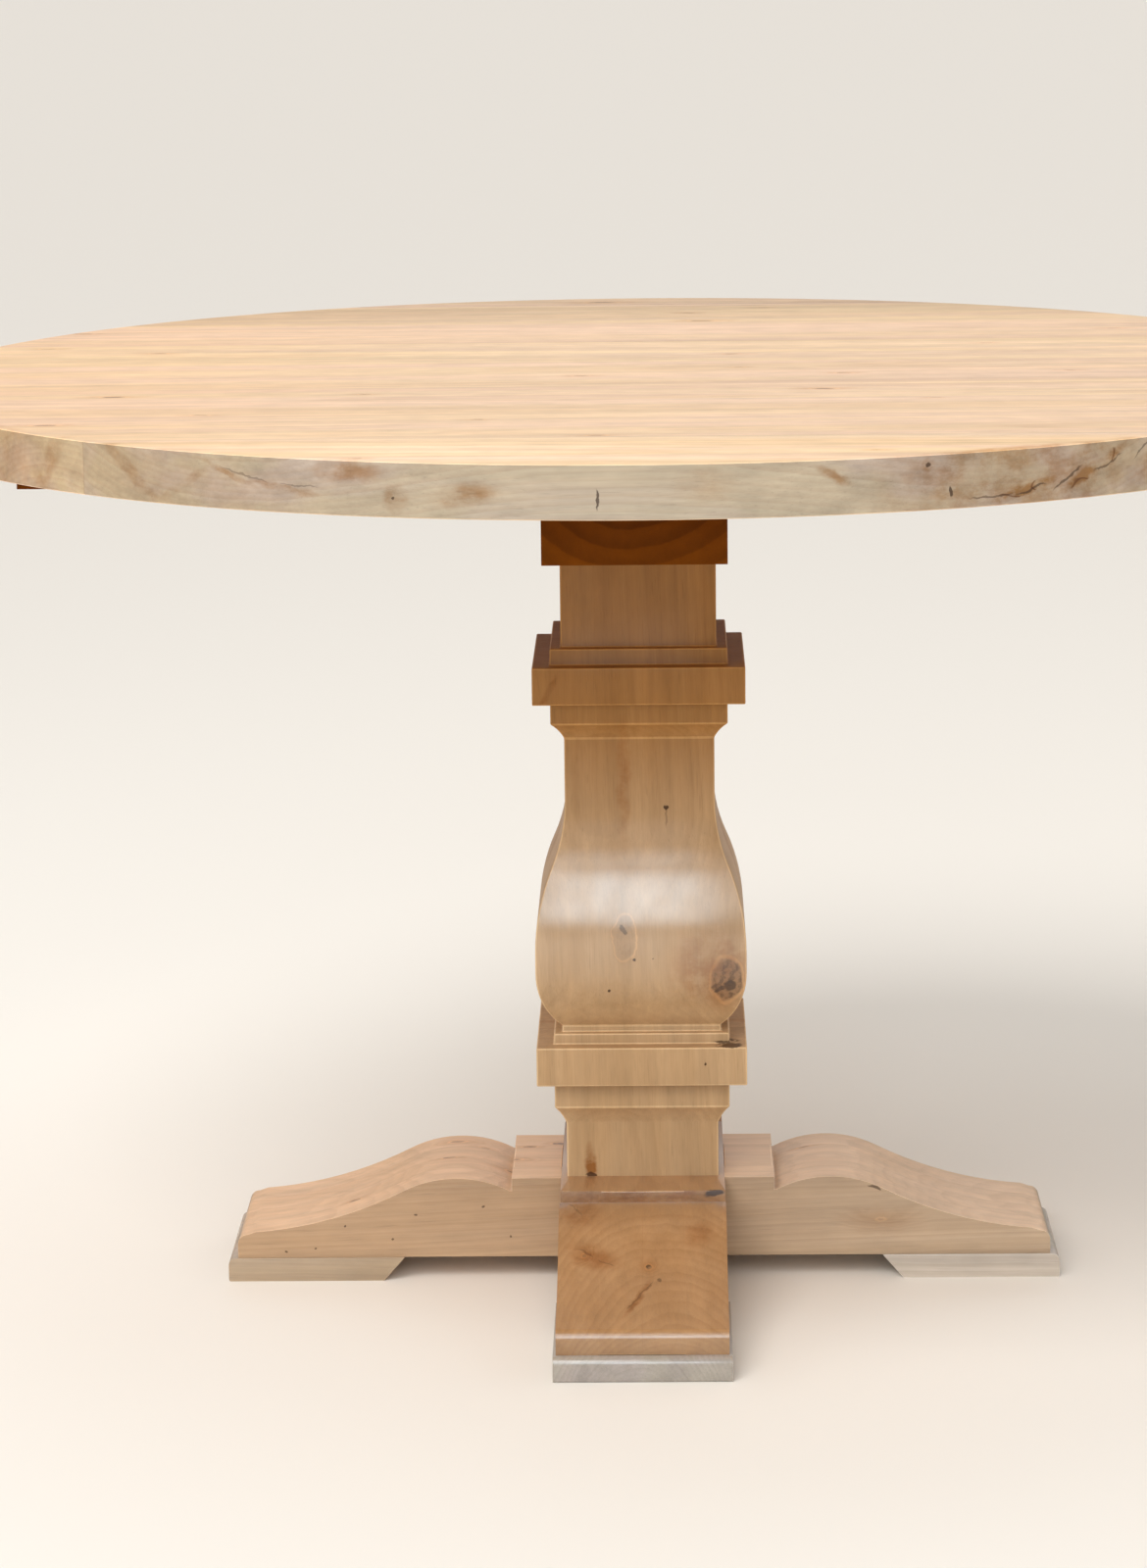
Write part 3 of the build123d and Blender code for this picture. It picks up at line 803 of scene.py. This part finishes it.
def dress_column():
    names = names_of("column_lamination")
    chance = random.Random(5)
    for index, name in enumerate(names):
        low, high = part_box(name)
        glue = joints_of(names, index, y_axis)
        through = "Y" if index == len(names) - 1 else "X"
        marks = Marks(knots=scatter(name, 3, through, chance), glue=glue)
        if index == 0:
            marks = Marks(column_front_knots, column_front_stains, column_front_pits, glue)
        depth = chance.uniform(0.06, 0.12) * chance.choice((-1, 1))
        pith = (chance.uniform(-0.03, 0.03), (low.y + high.y) / 2 + depth)
        tilt = (chance.uniform(-0.04, 0.04), chance.uniform(-0.05, 0.05))
        dress(name, wood("wood_" + name, "column_wood", "Z", pith, 20 + index, tilt, marks,
                         fade=column_painted_shade, polish=column_polish))


left_foot_pins = ((-0.192, 0.058), (-0.134, 0.063), (-0.211, 0.036), (-0.111, 0.037),
                  (-0.251, 0.047), (-0.276, 0.028), (-0.301, 0.025))

front_foot_knots = (
    Knot((0.006, -0.239, 0.06), 0.0022, 0.012, "Z", 0.9, 1.3),
    Knot((-0.048, -0.225, 0.06), 0.0014, 0.012, "Z", 0.5, 1.3),
)

front_foot_stains = (
    Stain((-0.004, -0.285, 0.05), (0.004, 0.042, 0.10), 1.0, (0, 0, -20)),
    Stain((-0.056, -0.160, 0.07), (0.024, 0.045, 0.10), 0.9, (0, 0, 20)),
    Stain((-0.040, -0.225, 0.06), (0.030, 0.020, 0.10), 0.8, (0, 0, -30)),
    Stain((0.045, -0.200, 0.06), (0.020, 0.020, 0.10), 0.6, (0, 0, 30)),
    Stain((0.000, -0.111, 0.083), (0.110, 0.004, 0.010), 0.9),
)

front_foot_pits = (
    Pit((0.059, -0.109, 0.0855), (0.0110, 0.006, 0.0040), 1.0),
    Pit((0.014, -0.256, 0.05), (0.0020, 0.0030, 0.05), 0.6),
    Pit((-0.002, -0.279, 0.05), (0.0010, 0.0300, 0.05), 0.45, (0, 0, -26)),
    Pit((-0.058, -0.152, 0.08), (0.0012, 0.0300, 0.05), 0.35, (0, 0, 20)),
    Pit((-0.047, -0.221, 0.06), (0.0100, 0.0012, 0.05), 0.40, (0, 0, -30)),
    Pit((-0.030, -0.233, 0.06), (0.0080, 0.0010, 0.05), 0.35, (0, 0, -35)),
)

# The left-to-right beam is made paler and cooler towards the right, as painted light: the right
# foot is toned for light that falls from the left.
beam_painted_light = Fade("X", -0.10, 0.22, (1.0, 1.10, 1.24))


def side_feet_marks(low, glue):
    """The pins of the left foot, and the knot and the fleck of the right one."""
    knots = [Knot((0.200, low.y, 0.050), 0.0006, 0.016, "Y", 0.2, 3.0)]
    pits = [Pit((x, low.y, z), (0.0013, 0.01, 0.0012), 0.75) for x, z in left_foot_pins]
    pits.append(Pit((0.194, low.y, 0.078), (0.0075, 0.006, 0.0016), 0.75, (0, 24, 0)))
    return Marks(knots, (), pits, glue, 0.35)


def dress_left_to_right_beam():
    chance = random.Random(8)
    names = names_of("beam_left_to_right")
    for index, name in enumerate(names):
        low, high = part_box(name)
        glue = joints_of(names, index, y_axis)
        marks = Marks(knots=scatter(name, 3, "Z", chance), glue=glue, glue_strength=0.35)
        pith = ((low.y + high.y) / 2 + chance.uniform(-0.02, 0.02),
                low.z - chance.uniform(0.04, 0.10))
        tilt = (chance.uniform(-0.03, 0.03), chance.uniform(-0.05, 0.05))
        if index == 0:
            marks = side_feet_marks(low, glue)
        dress(name, wood("wood_" + name, "beam_wood", "X", pith, 40 + index, tilt, marks,
                         fade=beam_painted_light))


def dress_front_to_back_beam():
    """One wide figure shows across all the boards of the front foot."""
    chance = random.Random(9)
    names = names_of("beam_front_to_back")
    for index, name in enumerate(names):
        knots = front_foot_knots + tuple(scatter(name, 1, "X", chance))
        marks = Marks(knots, front_foot_stains, front_foot_pits,
                      joints_of(names, index, x_axis), 0.12)
        dress(name, wood("wood_" + name, "front_foot_wood", "Y", (0.012, -0.035), 60,
                         (0.02, 0.05), marks))


def dress_bearers():
    for name, along, seed in (("bearer_front_to_back", "Y", 80), ("bearer_left_to_right", "X", 85)):
        marks = Marks(knots=scatter(name, 4, "Z", random.Random(seed)))
        pith = (-0.012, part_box(name)[1].z + 0.045)
        dress(name, wood("wood_" + name, "bearer_wood", along, pith, seed, (0.01, 0.02), marks))


pad_tones = {"foot_pad_front": (0.85, 0.84, 0.87), "foot_pad_left": (1.00, 0.83, 0.67),
             "foot_pad_right": (1.12, 1.11, 1.10), "foot_pad_back": (1.0, 1.0, 1.0)}


def dress_pads():
    """Each pad is of its own tone, and weathered most in the middle of its length."""
    for seed, name in enumerate(names_of("foot_pad"), start=90):
        chance = random.Random(seed)
        along = "Y" if name.endswith(("front", "back")) else "X"
        low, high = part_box(name)
        knots = scatter(name, 2, "Z", chance)
        middle = [(start + end) / 2 for start, end in zip(low, high)]
        reach = [(end - start) / 2 for start, end in zip(low, high)]
        marks = Marks(knots, (Stain(middle, reach, 0.5),))
        pith = (chance.uniform(-0.05, 0.05), chance.uniform(-0.05, -0.03))
        dress(name, wood("wood_" + name, "pad_wood", along, pith, seed, (0.0, 0.02), marks,
                         tone=pad_tones[name]))


def dress_dowels():
    for name in names_of("column_base_dowels") + names_of("column_top_dowels"):
        dress(name, wood("wood_" + name, "dowel_wood", "Z", (0.004, 0.006), 100))


# ---------------------------------------------------------------- steel

zinc_dull = (0.52, 0.53, 0.54)
zinc_bright = (0.68, 0.67, 0.63)
zinc_dark = (0.42, 0.43, 0.45)
spangles = 420.0  # crystals of the zinc per metre
thread_depth = 0.0006
thread_strength = 0.6

# The pitch of each fixing's thread, where it has one.
thread_pitches = {"tie_rod": 0.00175, "tie_rod_nuts": 0.00175, "tie_rod_washers": None,
                  "top_screws": 0.0025, "top_screw_washers": None, "pad_screws": 0.0022}


def steel(name, pitch):
    """Zinc-plated steel: spangled, a little cloudy, with the ridges of a thread where it has one.
    """
    graph = Graph(name)
    clouds = graph.noise(graph.place, (60.0, 60.0, 60.0), 3.0, 0.6)
    specks = graph.noise(graph.place, (900.0, 900.0, 900.0), 2.0, 0.6)
    spangle = graph.node("ShaderNodeTexVoronoi", {"Vector": graph.place, "Scale": spangles})
    cells = graph.vector("DOT_PRODUCT", spangle.outputs["Color"], (0.33, 0.33, 0.33))
    tint = graph.mix(clouds, zinc_dull, zinc_bright)
    tint = graph.mix(graph.product(cells, 0.25), tint, zinc_dark)
    rough = graph.total(0.24, (clouds, 0.18))
    height = graph.product(specks, 0.06)
    if pitch:
        ridge = graph.math("PINGPONG", graph.axes["Z"], pitch / 2)
        height = graph.total(height, (ridge, 2.0 / pitch))
    graph.shader.inputs["Metallic"].default_value = 1.0
    return graph.finish(tint, rough, graph.bump(height, thread_strength, thread_depth))


def dress_fixings():
    for name, pitch in thread_pitches.items():
        dress(name, steel("steel_" + name, pitch))


dress_top()
dress_column()
dress_left_to_right_beam()
dress_front_to_back_beam()
dress_bearers()
dress_pads()
dress_dowels()
dress_fixings()


# ---------------------------------------------------------------- stage, light and camera

floor_tint = (0.88, 0.83, 0.76)
floor_roughness = 0.6
floor_radius = 60

# The studio's walls glow: the height of each stop, as a share of straight up, and its glow.
wall_tint = (1.0, 0.985, 0.965)
wall_glows = ((0.12, 0.22), (0.26, 0.95), (0.60, 0.95), (0.75, 0.22))

# A lamp: its place, what it is aimed at, its two sides, its power in watts and its tint.
Lamp = namedtuple("Lamp", "place target size power tint")

lamps = {
    "overhead": Lamp((-0.4, 0.3, 3.2), (0, 0, 0.7), (2.4, 2.4), 27, (1.0, 1.0, 1.0)),
    "window": Lamp((-0.25, -5.2, 2.15), (0, 0, 0.6), (2.1, 2.9), 95, (0.76, 0.91, 1.0)),
}

sky_strength = 1.7
sky_spread = math.radians(35)
sky_direction = (0.42, 0.80, -1.00)

# The camera stands in front of the table, a little right of its middle, and looks down.
camera_place = (0.0211, -4.078, 1.2184)
camera_turn = math.radians(1.08)  # to the left
camera_dip = math.radians(11.193)
camera_roll = math.radians(-0.65)
camera_lens = 113.64  # in millimetres
camera_sensor = 36


def aim(direction):
    """The turn that points a lamp along a direction."""
    return Vector(direction).to_track_quat("-Z", "Y").to_euler()


def add_to_scene(name, data):
    made = bpy.data.objects.new(name, data)
    bpy.context.scene.collection.objects.link(made)
    return made


def make_floor():
    bpy.ops.mesh.primitive_circle_add(vertices=96, radius=floor_radius, fill_type="NGON")
    floor = bpy.context.object
    floor.name = "floor"
    material = bpy.data.materials.new("floor")
    material.use_nodes = True
    shader = material.node_tree.nodes["Principled BSDF"]
    shader.inputs["Base Color"].default_value = (*floor_tint, 1)
    shader.inputs["Roughness"].default_value = floor_roughness
    floor.data.materials.append(material)


def make_walls():
    """A world that glows most in a broad band above the horizon."""
    world = bpy.data.worlds.new("studio")
    world.use_nodes = True
    tree = world.node_tree
    background = tree.nodes["Background"]
    background.inputs["Color"].default_value = (*wall_tint, 1)
    direction = tree.nodes.new("ShaderNodeTexCoord")
    rise = tree.nodes.new("ShaderNodeSeparateXYZ")
    ramp = tree.nodes.new("ShaderNodeValToRGB")
    ramp.color_ramp.interpolation = "EASE"
    stops = ramp.color_ramp.elements
    for height, glow in wall_glows:
        stops.new(height).color = (glow, glow, glow, 1)
    stops.remove(stops[0])
    stops.remove(stops[-1])
    tree.links.new(direction.outputs["Generated"], rise.inputs[0])
    tree.links.new(rise.outputs["Z"], ramp.inputs[0])
    tree.links.new(ramp.outputs[0], background.inputs["Strength"])
    bpy.context.scene.world = world


def make_lamps():
    for name, lamp in lamps.items():
        light = bpy.data.lights.new(name, "AREA")
        light.shape = "RECTANGLE"
        light.size, light.size_y = lamp.size
        light.energy = lamp.power
        light.color = lamp.tint
        made = add_to_scene(name, light)
        made.location = lamp.place
        made.rotation_euler = aim(Vector(lamp.target) - Vector(lamp.place))


def make_sky():
    """Soft light from high on the left, in front of the table."""
    light = bpy.data.lights.new("skylight", "SUN")
    light.energy = sky_strength
    light.angle = sky_spread
    add_to_scene("skylight", light).rotation_euler = aim(sky_direction)


def make_camera():
    camera = bpy.data.cameras.new("camera")
    camera.sensor_width = camera_sensor
    camera.lens = camera_lens
    camera.clip_end = 200
    viewer = add_to_scene("camera", camera)
    viewer.matrix_world = (
        Matrix.Translation(camera_place)
        @ Matrix.Rotation(camera_turn, 4, "Z")
        @ Matrix.Rotation(math.radians(90) - camera_dip, 4, "X")
        @ Matrix.Rotation(camera_roll, 4, "Z")
    )
    bpy.context.scene.camera = viewer


make_floor()
make_walls()
make_lamps()
make_sky()
make_camera()
bpy.context.scene.view_settings.view_transform = "Standard"
